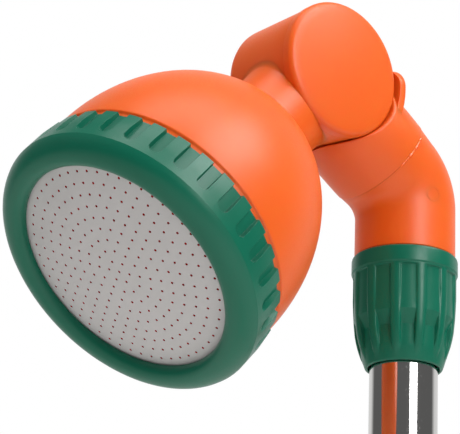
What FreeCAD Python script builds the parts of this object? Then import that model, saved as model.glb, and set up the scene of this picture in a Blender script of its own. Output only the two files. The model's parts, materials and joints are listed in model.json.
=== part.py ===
import FreeCAD, Part
import math
import os
from FreeCAD import Placement, Rotation, Vector
import Sketcher

# Watering wand: a tilting shower head on a chromed tube, with a handle, a thumb valve and a hose inlet.
# Millimetres. The origin is the tip of the hose inlet, +Z runs up the tube, +X is the side that the
# shower head faces, and +Y is the axis that the head tilts about.

doc = FreeCAD.newDocument("watering_wand")
sheet = doc.addObject("Spreadsheet::Sheet", "dims")

CELLS = {
    "tube_radius": 9.5,
    "tube_wall": 0.8,
    "socket_radius": 9.6,
    "thread_radius": 12.3,
    "pipe_radius": 14.15,
    "bend_radius": 12.0,
    "elbow_radius": 14.8,
    "saddle_tube_radius": 15.2,
    "head_base": 500.0,
    "handle_collar_base": 230.0,
    "collar_height": 30.5,
    "collar_radius": 14.6,
    "collar_rib_count": 12,
    "elbow_corner": 51.0,
    "elbow_angle": 57.0,
    "pivot_forward": 36.0,
    "pivot_rise": 74.4,
    "seam_distance": 31.0,
    "drum_radius": 19.0,
    "drum_bore": 15.2,
    "drum_wall_end": 14.6,
    "cap_radius": 19.3,
    "cap_seat": 10.6,
    "core_radius": 15.15,
    "saddle_radius": 19.75,
    "strap_radius": 20.4,
    "strap_thickness": 2.2,
    "stem_radius": 4.5,
    "stem_bore": 3.0,
    "slot_half_width": 4.75,
    "tilt_travel": 70.0,
    "rose_tilt": 48.66,
    "neck_radius": 13.5,
    "bell_start": 29.3,
    "bell_mouth": 74.0,
    "bell_radius": 38.1,
    "bell_wall": 2.4,
    "ring_back": 79.0,
    "ring_radius": 39.2,
    "ring_bore": 36.3,
    "ring_groove_count": 33,
    "plate_apex": 94.3,
    "plate_dome_radius": 166.0,
    "plate_flange_radius": 35.0,
    "plate_thickness": 0.8,
    "hole_pitch": 3.2,
    "hole_radius": 0.35,
    "valve_height": 165.0,
    "ball_radius": 9.0,
    "ball_bore": 4.8,
    "grip_radius": 17.0,
    "shell_grip_radius": 15.0,
    "inlet_radius": 6.8,
}


class Dim:
    """A length that knows both its value and the spreadsheet expression that gives it."""

    def __init__(self, value, text):
        self.value = value
        self.text = text

    def _join(self, other, sign, result, swap=False):
        mine = "(" + self.text + ")"
        theirs = "(" + text_of(other) + ")"
        if swap:
            mine, theirs = theirs, mine
        return Dim(result, mine + " " + sign + " " + theirs)

    def __add__(self, other):
        return self._join(other, "+", self.value + number(other))

    def __radd__(self, other):
        return self._join(other, "+", number(other) + self.value, swap=True)

    def __sub__(self, other):
        return self._join(other, "-", self.value - number(other))

    def __rsub__(self, other):
        return self._join(other, "-", number(other) - self.value, swap=True)

    def __mul__(self, other):
        return self._join(other, "*", self.value * number(other))

    def __rmul__(self, other):
        return self._join(other, "*", number(other) * self.value, swap=True)

    def __truediv__(self, other):
        return self._join(other, "/", self.value / number(other))

    def __neg__(self):
        return Dim(-self.value, "-(" + self.text + ")")


def number(x):
    return x.value if isinstance(x, Dim) else float(x)


def text_of(x):
    return x.text if isinstance(x, Dim) else repr(float(x))


DIMS = {}
for row, (name, value) in enumerate(CELLS.items(), start=1):
    sheet.set("A%d" % row, name)
    sheet.set("B%d" % row, repr(value))
    sheet.setAlias("B%d" % row, name)
    DIMS[name] = Dim(float(value), "dims." + name)
doc.recompute()


def dim(name):
    return DIMS[name]


def bind(obj, prop, x):
    """Set a property, and tie it to the spreadsheet when the value comes from there."""
    setattr(obj, prop, number(x))
    if isinstance(x, Dim):
        obj.setExpression(prop, x.text)


# ---------------------------------------------------------------- frames
TURN_Z_TO_Y = Rotation(Vector(1, 0, 0), -90)
ELBOW_ANGLE = number(dim("elbow_angle"))
ROSE_ANGLE = 90 + number(dim("rose_tilt"))
ABOUT_Y = Vector(0, 1, 0)
PIVOT_Z = dim("head_base") + dim("pivot_rise")


def at_height(height):
    return {"z": height}


def at_pivot(rotation):
    return {"x": dim("pivot_forward"), "z": PIVOT_Z, "rotation": rotation}


ELBOW_FRAME = at_pivot(Rotation(ABOUT_Y, ELBOW_ANGLE))
ROSE_FRAME = at_pivot(Rotation(ABOUT_Y, ROSE_ANGLE))
DRUM_FRAME = at_pivot(TURN_Z_TO_Y)
HEAD_FRAME = at_height(dim("head_base"))
HANDLE_COLLAR_FRAME = {"z": dim("handle_collar_base"), "rotation": Rotation(Vector(1, 0, 0), 180)}
WAND_FRAME = {}

NODES = []


def put(obj, frame):
    """Place a sub-part in its frame and list it for export."""
    place = Placement()
    place.Rotation = frame.get("rotation", Rotation())
    place.Base = Vector(number(frame.get("x", 0)), 0, number(frame.get("z", 0)))
    obj.Placement = place
    for axis in ("x", "z"):
        if isinstance(frame.get(axis), Dim):
            obj.setExpression("Placement.Base." + axis, frame[axis].text)
    NODES.append(obj)
    return obj


# ---------------------------------------------------------------- modelling helpers
def new_body(label, frame):
    body = doc.addObject("PartDesign::Body", label)
    body.Label = label
    return put(body, frame)


def origin_item(body, role):
    return next(item for item in body.Origin.OriginFeatures if item.Role == role)


def sketch_on(body, role="XZ_Plane", offset=None):
    sketch = body.newObject("Sketcher::SketchObject", body.Label + "_sketch")
    sketch.AttachmentSupport = (origin_item(body, role), [""])
    sketch.MapMode = "FlatFace"
    if offset is not None:
        sketch.AttachmentOffset = offset
    return sketch


class Bulge:
    """Marks that the next side of an outline is an arc through this point."""

    def __init__(self, x, y):
        self.x = x
        self.y = y


def dome_bulge(edge_radius, edge, top):
    """Middle of the arc that rises from a rim to the axis as part of a sphere."""
    sag = abs(top - edge)
    sphere = (edge_radius ** 2 + sag ** 2) / (2 * sag)
    half = edge_radius / 2
    drop = sphere - math.sqrt(sphere ** 2 - half ** 2)
    return Bulge(half, top - math.copysign(drop, top - edge))


def draw_outline(sketch, points):
    """Closed outline: (x, y) corners, each held by its coordinates, with Bulge items for arcs."""
    corners = [p for p in points if not isinstance(p, Bulge)]
    bulges = {}
    index = -1
    for p in points:
        if isinstance(p, Bulge):
            bulges[index] = p
        else:
            index += 1
    count = len(corners)
    ends = []
    for i in range(count):
        a = Vector(number(corners[i][0]), number(corners[i][1]), 0)
        b = Vector(number(corners[(i + 1) % count][0]), number(corners[(i + 1) % count][1]), 0)
        if i in bulges:
            middle = Vector(number(bulges[i].x), number(bulges[i].y), 0)
            arc = Part.Arc(a, middle, b)
            edge = sketch.addGeometry(arc, False)
            begins_at_a = sketch.getPoint(edge, 1).distanceToPoint(a) < 1e-6
            ends.append((edge, 1, 2) if begins_at_a else (edge, 2, 1))
        else:
            edge = sketch.addGeometry(Part.LineSegment(a, b), False)
            ends.append((edge, 1, 2))
    for i in range(count):
        edge, start, stop = ends[i]
        following, next_start, unused = ends[(i + 1) % count]
        sketch.addConstraint(Sketcher.Constraint("Coincident", edge, stop, following, next_start))
    for i in range(count):
        edge, start, stop = ends[i]
        for kind, value in (("DistanceX", corners[i][0]), ("DistanceY", corners[i][1])):
            which = sketch.addConstraint(Sketcher.Constraint(kind, -1, 1, edge, start, number(value)))
            if isinstance(value, Dim):
                sketch.setExpression("Constraints[%d]" % which, value.text)


def draw_circle(sketch, radius, x=0, y=0):
    circle = Part.Circle(Vector(number(x), number(y), 0), Vector(0, 0, 1), number(radius))
    edge = sketch.addGeometry(circle, False)
    which = sketch.addConstraint(Sketcher.Constraint("Radius", edge, number(radius)))
    if isinstance(radius, Dim):
        sketch.setExpression("Constraints[%d]" % which, radius.text)
    for kind, value in (("DistanceX", x), ("DistanceY", y)):
        place = sketch.addConstraint(Sketcher.Constraint(kind, -1, 1, edge, 3, number(value)))
        if isinstance(value, Dim):
            sketch.setExpression("Constraints[%d]" % place, value.text)


def turned(body, kind, points, role="XZ_Plane", angle=360, offset=None):
    """Revolve an outline about the sketch's upright axis; kind is Revolution or Groove."""
    sketch = sketch_on(body, role, offset)
    draw_outline(sketch, points)
    feature = body.newObject("PartDesign::" + kind, body.Label + "_" + kind.lower())
    feature.Profile = sketch
    feature.ReferenceAxis = (sketch, ["V_Axis"])
    feature.Angle = angle
    if angle != 360:
        feature.Midplane = True
    body.Tip = feature
    return feature


def extruded(body, kind, sketch, length, midplane=False, backwards=False):
    """Pad or Pocket a sketch."""
    feature = body.newObject("PartDesign::" + kind, body.Label + "_" + kind.lower())
    feature.Profile = sketch
    bind(feature, "Length", length)
    feature.Midplane = midplane
    feature.Reversed = backwards
    body.Tip = feature
    return feature


def around(body, feature, count):
    """Repeat a feature evenly about the body's Z axis."""
    pattern = body.newObject("PartDesign::PolarPattern", body.Label + "_pattern")
    pattern.Originals = [feature]
    pattern.Axis = (origin_item(body, "Z_Axis"), [""])
    pattern.Angle = 360
    pattern.Occurrences = int(number(count))
    body.Tip = pattern
    return pattern


def box_points(left, right, low, high):
    return [(left, low), (right, low), (right, high), (left, high)]


def turned_part(label, frame, points, cuts=()):
    """A body that is one revolved outline, less any revolved cuts."""
    body = new_body(label, frame)
    turned(body, "Revolution", points)
    for cut in cuts:
        turned(body, "Groove", cut)
    return body


def ring_seal(label, frame, centre_radius, section, heights):
    """O-rings: one torus, or several equal ones in one node."""
    rings = []
    for height in heights:
        ring = doc.addObject("Part::Torus", label + "_ring")
        bind(ring, "Radius1", centre_radius)
        bind(ring, "Radius2", section)
        ring.Placement.Base = Vector(0, 0, number(height))
        rings.append(ring)
    group = doc.addObject("Part::Compound", label)
    group.Links = rings
    group.Label = label
    return put(group, frame)


def turn_sketch(angle):
    """Turn a sketch on the XY plane about the body's Y axis."""
    return Placement(Vector(0, 0, 0), Rotation(ABOUT_Y, angle))


# ---------------------------------------------------------------- shower head
def make_face_plate():
    """Domed plate with a flat rim, drilled with rings of six times the ring's number of holes."""
    apex = dim("plate_apex")
    dome = dim("plate_dome_radius")
    thick = dim("plate_thickness")
    rim = dim("plate_flange_radius")
    edge_radius = 31.0
    half_radius = edge_radius / 2

    def sag(radius):
        return number(dome) - math.sqrt(number(dome) ** 2 - radius ** 2)

    flange = apex - sag(edge_radius)
    body = turned_part("face_plate", ROSE_FRAME, [
        (0, apex),
        Bulge(half_radius, number(apex) - sag(half_radius)),
        (edge_radius, flange),
        (rim, flange),
        (rim, flange - thick),
        (edge_radius, flange - thick),
        Bulge(half_radius, number(apex - thick) - sag(half_radius)),
        (0, apex - thick),
    ])
    holes = sketch_on(body, "XY_Plane", Placement(Vector(0, 0, number(apex) + 1), Rotation()))
    pitch = number(dim("hole_pitch"))
    hole = number(dim("hole_radius"))
    for ring in range(10):
        count = max(1, 6 * ring)
        for i in range(count):
            angle = 2 * math.pi * i / count
            centre = Vector(ring * pitch * math.cos(angle), ring * pitch * math.sin(angle), 0)
            holes.addGeometry(Part.Circle(centre, Vector(0, 0, 1), hole), False)
    extruded(body, "Pocket", holes, 6)
    return number(flange)


def make_locking_ring(flange):
    """Ring nut that clamps the plate: rounded bezel, thin lip, and U-shaped grip grooves."""
    back = dim("ring_back")
    outer = dim("ring_radius")
    bore = dim("ring_bore")
    lip_face = flange + 0.3
    groove_depth = 1.1
    groove_half = 1.85
    groove_end = 86.5
    turn = Rotation(ABOUT_Y, ROSE_ANGLE) * Rotation(Vector(0, 0, 1), 8.1)
    body = turned_part("locking_ring", at_pivot(turn), [
        (bore, back),
        (outer - 0.5, back),
        (outer, 84),
        (outer, 90),
        Bulge(38.4, 92.1),
        (36.6, 93.5),
        Bulge(34.6, 94.7),
        (32.4, 94.5),
        (31.0, 92.8),
        (31.0, lip_face),
        (bore, lip_face),
    ])
    side = Placement(Vector(0, 0, number(outer) - groove_depth), Rotation())
    groove = sketch_on(body, "YZ_Plane", side)
    draw_outline(groove, [
        (-groove_half, back - 1),
        (groove_half, back - 1),
        (groove_half, groove_end),
        Bulge(0, groove_end + groove_half),
        (-groove_half, groove_end),
    ])
    cut = extruded(body, "Pocket", groove, 4, backwards=True)
    around(body, cut, dim("ring_groove_count"))


def make_bell_housing():
    """Thin bell from the neck's hub out to the threaded mouth."""
    start = dim("bell_start")
    mouth = dim("bell_mouth")
    radius = dim("bell_radius")
    wall = dim("bell_wall")
    depth = number(mouth) - 25.5

    def bell(w, inset=0.0):
        share = (number(mouth) - w) / (depth - inset)
        return (number(radius) - inset) * math.sqrt(1 - share ** 2)

    inset = number(wall)
    hub = dim("neck_radius")
    spigot = 11.05
    rim = number(dim("ring_bore")) - 0.3
    turned_part("bell_housing", ROSE_FRAME, [
        (spigot, start),
        (hub, start),
        Bulge(bell(36.5), 36.5),
        (bell(46.0), 46.0),
        Bulge(bell(56.9), 56.9),
        (bell(68.0), 68.0),
        (radius, mouth),
        (radius, 77.8),
        (37.0, 78.6),
        (rim, 78.6),
        (rim, 88.9),
        (33.2, 88.9),
        (33.2, 86.2),
        (31.6, 86.2),
        (31.6, 83.0),
        (radius - wall, 77.0),
        (radius - wall, mouth),
        Bulge(bell(62.0, inset), 62.0),
        (bell(50.0, inset), 50.0),
        Bulge(bell(41.0, inset), 41.0),
        (bell(34.0, inset), 34.0),
        (13.3, 34.0),
        (13.3, 37.0),
        (spigot, 37.0),
    ])


def make_head_internals(flange):
    """Gasket behind the plate's rim, and the spreader plate with its rings of ports."""
    low = flange - number(dim("plate_thickness"))
    turned_part("head_gasket", ROSE_FRAME, box_points(31.6, dim("plate_flange_radius"), 88.95, low))
    body = turned_part("spreader_plate", ROSE_FRAME, [
        (0, 86.25),
        (33.1, 86.25),
        (33.1, 88.6),
        (30.0, 88.6),
        (28.5, 87.9),
        (0, 87.9),
    ])
    for distance, count in ((11.0, 6), (22.0, 12)):
        port = sketch_on(body, "XY_Plane", Placement(Vector(0, 0, 90), Rotation()))
        draw_circle(port, 2.2, distance, 0)
        cut = extruded(body, "Pocket", port, 6)
        around(body, cut, count)


def make_neck_drum():
    """Hollow pivot drum with the neck that carries the bell."""
    outer = dim("drum_radius")
    bore = dim("drum_bore")
    seat = dim("cap_seat")
    end = dim("drum_wall_end")
    neck = dim("neck_radius")
    start = dim("bell_start")
    body = new_body("neck_drum", ROSE_FRAME)
    turned(body, "Revolution", [
        (0, -end - 0.3),
        dome_bulge(17.0, -number(end) + 0.5, -number(end) - 0.3),
        (17.0, -end + 0.5),
        Bulge(18.5, -number(end) + 1.25),
        (outer, -end + 2.8),
        (outer, seat),
        (0, seat),
    ], role="XY_Plane")
    pipe = sketch_on(body, "XY_Plane")
    draw_circle(pipe, neck)
    extruded(body, "Pad", pipe, start)

    spigot = sketch_on(body, "XY_Plane", Placement(Vector(0, 0, number(start) - 1), Rotation()))
    draw_circle(spigot, 11.0)
    extruded(body, "Pad", spigot, 8.5)
    turned(body, "Groove", box_points(0, bore, -12.0, 12.0), role="XY_Plane")
    turned(body, "Groove", box_points(0, dim("cap_radius") + 0.05, seat, 16.0), role="XY_Plane")
    tongue = 0.05
    turned(body, "Groove", box_points(16.6 - tongue, 17.8 + tongue, 9.1, 12.0), role="XY_Plane")
    turned(body, "Groove", [
        (0, 19.1),
        (10.0, 19.1),
        (10.0, 26.0),
        (8.8, 28.0),
        (8.8, 38.0),
        (0, 38.0),
    ])
    turned(body, "Groove", box_points(9.9, 12.0, 32.4, 33.6))
    windows = sketch_on(body, "XY_Plane", Placement(Vector(0, 0, 10), Rotation()))
    for low, high in ((6.95, 9.05), (-9.05, -6.95)):
        draw_outline(windows, box_points(-4.0, 4.0, low, high))
    extruded(body, "Pocket", windows, 10, backwards=True)
    half_width = dim("slot_half_width")
    stem_share = math.degrees(math.asin(number(half_width) / number(bore)))
    stem_side = 180 - ROSE_ANGLE + ELBOW_ANGLE
    travel = number(dim("tilt_travel"))
    middle = stem_side + travel / 2
    turned(body, "Groove", box_points(14.0, 22.0, -half_width, half_width), role="XY_Plane",
           angle=travel + 2 * stem_share, offset=turn_sketch(middle - 90))
    ring_seal("neck_o_ring", ROSE_FRAME, 10.47, 0.55, [33.0])


def make_pivot_cap():
    """Domed cap that closes the drum's open end, with a tongue in the drum's rim."""
    outer = dim("cap_radius")
    seat = dim("cap_seat")
    turned_part("pivot_cap", DRUM_FRAME, [
        (0, seat + 1.4),
        (15.3, seat + 1.4),
        (15.3, seat),
        (16.6, seat),
        (16.6, seat - 1.4),
        (17.8, seat - 1.4),
        (17.8, seat),
        (outer, seat),
        (outer, seat + 2.2),
        Bulge(18.75, number(seat) + 3.45),
        (17.4, seat + 4.0),
        dome_bulge(17.4, number(seat) + 4.0, number(seat) + 4.9),
        (0, seat + 4.9),
    ])


# ---------------------------------------------------------------- tilting pivot
def make_pivot_core():
    """Fixed core inside the drum: water enters through the stem and leaves by two galleries."""
    outer = dim("core_radius")
    seal_heights = (-10.15, -5.9, 5.9, 10.15)
    gallery = (6.95, 9.05)
    body = new_body("pivot_core", ELBOW_FRAME)
    turned(body, "Revolution", box_points(0, outer, -11.6, 11.6), role="XY_Plane")
    for height in seal_heights:
        turned(body, "Groove", box_points(13.5, 16.0, height - 0.9, height + 0.9), role="XY_Plane")
    for low, high in (gallery, (-gallery[1], -gallery[0])):
        turned(body, "Groove", box_points(12.0, 16.0, low, high), role="XY_Plane")
        passage = sketch_on(body, "YZ_Plane")
        draw_outline(passage, box_points(low, high, -4.5, 4.5))
        extruded(body, "Pocket", passage, 34, midplane=True)
    turned(body, "Groove", box_points(0, 5.0, -9.2, 12.0), role="XY_Plane")
    socket = sketch_on(body, "XY_Plane")
    draw_circle(socket, dim("stem_radius"))
    extruded(body, "Pocket", socket, 18)
    turned_part("core_plug", DRUM_FRAME, box_points(0, 5.0, 9.6, 11.6))
    ring_seal("pivot_o_rings", DRUM_FRAME, 14.32, 0.8, seal_heights)


def make_pivot_stem():
    """Hollow flanged bolt that ties the core to the elbow and carries the water across."""
    turned_part("pivot_stem", ELBOW_FRAME, [
        (dim("stem_bore"), -28.3),
        (7.2, -28.3),
        (7.2, -25.6),
        (dim("stem_radius"), -25.6),
        (dim("stem_radius"), -5.6),
        (dim("stem_bore"), -5.6),
    ])
    ring_seal("stem_o_ring", ELBOW_FRAME, 5.32, 0.8, [-24.75])


def make_pivot_body():
    """Upper elbow section: a round pipe cut to a saddle, with a round-cornered strap behind the drum."""
    radius = dim("saddle_tube_radius")
    seam = dim("seam_distance")
    clear = dim("saddle_radius")
    strap = dim("strap_radius")
    strap_span = 50.0
    body = new_body("pivot_body", ELBOW_FRAME)
    pipe = sketch_on(body, "XY_Plane", Placement(Vector(0, 0, -number(seam)), Rotation()))
    draw_circle(pipe, radius)
    extruded(body, "Pad", pipe, seam)
    turned(body, "Revolution", box_points(strap, strap + dim("strap_thickness"), -14.4, 14.4),
           role="XY_Plane", angle=strap_span, offset=turn_sketch(90 + strap_span / 2))
    corners = sketch_on(body, "YZ_Plane")
    for side in (-1, 1):
        draw_outline(corners, [
            (side * 14.4, -18.2),
            Bulge(side * 12.9, -14.8),
            (side * 9.0, -13.2),
            (side * 9.0, -12.0),
            (side * 15.4, -12.0),
            (side * 15.4, -18.2),
        ])
    extruded(body, "Pocket", corners, 60, midplane=True)
    turned(body, "Groove", box_points(0, clear, -17.0, 17.0), role="XY_Plane")
    turned(body, "Groove", [
        (0, -18.0),
        (4.55, -18.0),
        (4.55, -23.9),
        (6.2, -23.9),
        (6.2, -25.6),
        (10.5, -25.6),
        (10.5, -26.8),
        (12.5, -26.8),
        (12.5, -seam - 1),
        (0, -seam - 1),
    ])


def elbow_path(first, last):
    """Centre line of the elbow from a height on the tube to a distance short of the pivot."""
    angle = math.radians(ELBOW_ANGLE)
    bend = number(dim("bend_radius"))
    corner = number(dim("elbow_corner"))
    tangent = bend * math.tan(angle / 2)
    forward = number(dim("pivot_forward"))
    rise = number(dim("pivot_rise"))
    bend_start = Vector(0, corner - tangent, 0)
    bend_end = Vector(tangent * math.sin(angle), corner + tangent * math.cos(angle), 0)
    centre = Vector(bend, corner - tangent, 0)
    half = math.pi - angle / 2
    bend_middle = centre + Vector(bend * math.cos(half), bend * math.sin(half), 0)
    finish = Vector(forward - last * math.sin(angle), rise - last * math.cos(angle), 0)
    return Vector(0, first, 0), bend_start, bend_middle, bend_end, finish


def swept(body, kind, first, last, radius, end_radius=None):
    """Sweep a circle along the elbow's centre line, tapering to end_radius if it is given."""
    start, bend_start, bend_middle, bend_end, finish = elbow_path(first, last)
    spine = sketch_on(body)
    spine.addGeometry(Part.LineSegment(start, bend_start), False)
    spine.addGeometry(Part.Arc(bend_start, bend_middle, bend_end), False)
    spine.addGeometry(Part.LineSegment(bend_end, finish), False)
    profile = sketch_on(body, "XY_Plane", Placement(Vector(0, 0, first), Rotation()))
    draw_circle(profile, radius)
    pipe = body.newObject("PartDesign::" + kind, body.Label + "_" + kind.lower())
    pipe.Profile = profile
    pipe.Spine = (spine, ["Edge1", "Edge2", "Edge3"])
    if end_radius is not None:
        place = Placement(Vector(finish.x, 0, finish.y), Rotation(ABOUT_Y, ELBOW_ANGLE))
        section = sketch_on(body, "XY_Plane", place)
        draw_circle(section, end_radius)
        pipe.Transformation = "Multisection"
        pipe.Sections = [section]
    body.Tip = pipe
    return finish


def make_elbow_body():
    """Lower elbow: threaded tail for the collar, swept bend, and a spigot for the upper section."""
    shoulder = number(dim("collar_height")) + 0.3
    seam = number(dim("seam_distance"))
    body = new_body("elbow_body", HEAD_FRAME)
    finish = swept(body, "AdditivePipe", shoulder, seam, dim("pipe_radius"), dim("elbow_radius"))
    tail = sketch_on(body, "XY_Plane", Placement(Vector(0, 0, 11.0), Rotation()))
    draw_circle(tail, dim("thread_radius"))
    extruded(body, "Pad", tail, shoulder - 11.0 + 1)
    place = Placement(Vector(finish.x, 0, finish.y), Rotation(ABOUT_Y, ELBOW_ANGLE))
    spigot = sketch_on(body, "XY_Plane", place)
    draw_circle(spigot, 12.45)
    extruded(body, "Pad", spigot, 4.1)
    swept(body, "SubtractivePipe", 20.0, seam - 5.0, 8.7)
    turned(body, "Groove", box_points(0, dim("socket_radius"), 10.0, 23.0))


# ---------------------------------------------------------------- tube joints
def make_collar(label, frame, turn):
    """Ribbed union nut: smooth cone at the tube's end, twelve ribs, and a plain rim band."""
    height = dim("collar_height")
    radius = dim("collar_radius")
    bore = dim("thread_radius") + 0.3
    pocket_half = 2.2
    place = dict(frame)
    place["rotation"] = frame.get("rotation", Rotation()) * Rotation(Vector(0, 0, 1), turn)
    body = turned_part(label, place, [
        (9.9, -1.5),
        (10.6, -1.5),
        Bulge(12.3, 2.7),
        (13.5, 6.5),
        Bulge(14.25, 12.0),
        (radius, 18.5),
        (radius, 25.4),
        (radius + 0.3, 26.0),
        (radius + 0.3, height - 0.9),
        (radius - 0.2, height),
        (bore, height),
        (bore, 10.8),
        (11.2, 8.3),
        (11.2, 5.5),
        (9.9, 1.6),
    ])
    side = sketch_on(body)
    draw_outline(side, [
        (17.0, 25.2),
        (radius - 0.6, 25.2),
        (radius - 0.6, 12.3),
        (12.25, 8.3),
        (11.9, 2.4),
        (17.0, 2.4),
    ])
    cut = extruded(body, "Pocket", side, 2 * pocket_half, midplane=True)
    around(body, cut, dim("collar_rib_count"))


def make_tube_joint(prefix, frame, turn):
    """Collar nut with the tapered grip ring and the O-ring that seal the tube."""
    make_collar(prefix + "collar_nut", frame, turn)
    turned_part(prefix + "grip_ring", frame, [
        (dim("tube_radius"), 3.0),
        (10.2, 3.0),
        (11.0, 5.6),
        (11.0, 8.4),
        (dim("tube_radius"), 8.4),
    ])
    ring_seal(prefix + "tube_o_ring", frame, dim("tube_radius") + 1.05, 1.0, [9.7])


def make_wand_tube():
    """Chromed steel tube between the two sockets."""
    radius = dim("tube_radius")
    low = dim("handle_collar_base") - 22.9
    high = dim("head_base") + 22.9
    turned_part("wand_tube", WAND_FRAME, box_points(radius - dim("tube_wall"), radius, low, high))


# ---------------------------------------------------------------- valve
VALVE_Z = number(dim("valve_height"))
VALVE_FRAME = {"z": dim("valve_height"), "rotation": TURN_Z_TO_Y}


def make_valve_body():
    """Straight valve body inside the handle, with a threaded tail for the tube's collar."""
    base = number(dim("handle_collar_base"))
    shoulder = base - number(dim("collar_height")) - 0.3
    tail_end = base - 11.0
    cavity = number(dim("ball_radius")) + 0.45
    body = turned_part("valve_body", WAND_FRAME, [
        (cavity, 141.0),
        (13.0, 141.0),
        (13.0, shoulder),
        (dim("thread_radius"), shoulder),
        (dim("thread_radius"), tail_end),
        (dim("socket_radius"), tail_end),
        (dim("socket_radius"), base - 23.0),
        (5.0, base - 23.0),
        (5.0, 177.8),
        (cavity, 177.8),
    ])
    hole = sketch_on(body, "XZ_Plane")
    draw_circle(hole, 3.55, 0, dim("valve_height"))
    extruded(body, "Pocket", hole, 16, backwards=False)
    turned_part("seat_nut", WAND_FRAME, [
        (7.05, 143.0),
        (cavity - 0.05, 143.0),
        (cavity - 0.05, 152.2),
        (5.0, 152.2),
        (5.0, 147.0),
        (7.05, 147.0),
    ])


def make_valve_seats():
    """Two moulded seats, one each side of the ball, joined as one node."""
    clear = number(dim("ball_radius")) + 0.05
    outer = number(dim("ball_radius")) + 0.4

    def on_ball(radius):
        return math.sqrt(clear ** 2 - radius ** 2)

    seats = []
    for side in (-1, 1):
        points = [
            Vector(5.0, 0, side * 12.8),
            Vector(outer, 0, side * 12.8),
            Vector(outer, 0, side * on_ball(7.5)),
            Vector(7.5, 0, side * on_ball(7.5)),
        ]
        edges = [Part.makeLine(a, b) for a, b in zip(points, points[1:])]
        near = Vector(5.0, 0, side * on_ball(5.0))
        middle = Vector(6.3, 0, side * on_ball(6.3))
        edges.append(Part.Arc(points[-1], middle, near).toShape())
        edges.append(Part.makeLine(near, points[0]))
        face = Part.Face(Part.Wire(edges))
        seats.append(face.revolve(Vector(0, 0, 0), Vector(0, 0, 1), 360))
    node = doc.addObject("Part::Feature", "valve_seats")
    node.Shape = Part.makeCompound(seats)
    node.Label = "valve_seats"
    put(node, {"z": dim("valve_height")})


def make_valve_ball():
    """Bored ball with a slot for the stem's tang."""
    ball = doc.addObject("Part::Sphere", "ball_blank")
    bind(ball, "Radius", dim("ball_radius"))
    bore = doc.addObject("Part::Cylinder", "ball_bore_cut")
    bind(bore, "Radius", dim("ball_bore"))
    bore.Height = 24
    bore.Placement.Base = Vector(0, 0, -12)
    slot = doc.addObject("Part::Box", "ball_slot_cut")
    slot.Length = 3.0
    slot.Width = 4.0
    slot.Height = 20.0
    slot.Placement.Base = Vector(-1.5, 6.6, -10)
    bored = doc.addObject("Part::Cut", "bored_ball")
    bored.Base = ball
    bored.Tool = bore
    node = doc.addObject("Part::Cut", "valve_ball")
    node.Base = bored
    node.Tool = slot
    node.Label = "valve_ball"
    put(node, {"z": dim("valve_height")})


def make_valve_stem():
    """Stem from the ball's slot, through its O-ring and the shell, to the lever's square."""
    body = turned_part("valve_stem", VALVE_FRAME, [
        (0, 8.9),
        (3.5, 8.9),
        (3.5, 10.3),
        (2.3, 10.3),
        (2.3, 12.1),
        (3.5, 12.1),
        (3.5, 19.9),
        (0, 19.9),
    ])
    tang = sketch_on(body, "XY_Plane", Placement(Vector(0, 0, 6.7), Rotation()))
    draw_outline(tang, box_points(-1.45, 1.45, -3.1, 3.1))
    extruded(body, "Pad", tang, 3.0)
    square = sketch_on(body, "XY_Plane", Placement(Vector(0, 0, 18.9), Rotation()))
    draw_outline(square, box_points(-2.4, 2.4, -2.4, 2.4))
    extruded(body, "Pad", square, 4.1)
    screw_hole = sketch_on(body, "XY_Plane", Placement(Vector(0, 0, 24.0), Rotation()))
    draw_circle(screw_hole, 1.5)
    extruded(body, "Pocket", screw_hole, 8)
    ring_seal("stem_seal_o_ring", VALVE_FRAME, 2.92, 0.6, [11.2])


def make_thumb_lever():
    """Bail lever: two hubs on the valve's axis and a bridge for the thumb."""
    hub = 7.0
    reach = 34.5
    half_tip = 4.6
    inner_reach = 30.6
    inside = 20.2
    outside = 23.4
    turn = TURN_Z_TO_Y * Rotation(Vector(0, 0, 1), -45)
    frame = {"z": dim("valve_height"), "rotation": turn}
    body = new_body("thumb_lever", frame)
    arm = sketch_on(body, "XY_Plane")
    draw_outline(arm, [
        (0, -hub),
        (reach, -half_tip),
        Bulge(reach + 1.6, 0),
        (reach, half_tip),
        (0, hub),
        Bulge(-hub, 0),
    ])
    extruded(body, "Pad", arm, 2 * outside, midplane=True)
    gap = sketch_on(body)
    draw_outline(gap, box_points(-10.0, inner_reach, -inside, inside))
    extruded(body, "Pocket", gap, 30, midplane=True)
    pin = sketch_on(body, "XY_Plane", Placement(Vector(0, 0, -18.0), Rotation()))
    draw_circle(pin, 3.55)
    extruded(body, "Pocket", pin, 8)
    square = sketch_on(body, "XY_Plane", Placement(Vector(0, 0, 18.0), Rotation(Vector(0, 0, 1), 45)))
    draw_outline(square, box_points(-2.45, 2.45, -2.45, 2.45))
    extruded(body, "Pocket", square, 8, backwards=True)
    turned_part("stem_screw", VALVE_FRAME, [
        (0, 17.0),
        (1.45, 17.0),
        (1.45, 23.5),
        (5.0, 23.5),
        (5.0, 24.6),
        dome_bulge(5.0, 24.6, 25.8),
        (0, 25.8),
    ])
    turned_part("pivot_screw", VALVE_FRAME, [
        (0, -25.9),
        dome_bulge(5.0, -24.7, -25.9),
        (5.0, -24.7),
        (5.0, -23.65),
        (3.5, -23.65),
        (3.5, -19.6),
        (1.9, -19.6),
        (1.9, -14.5),
        (0, -14.5),
    ])


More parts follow.
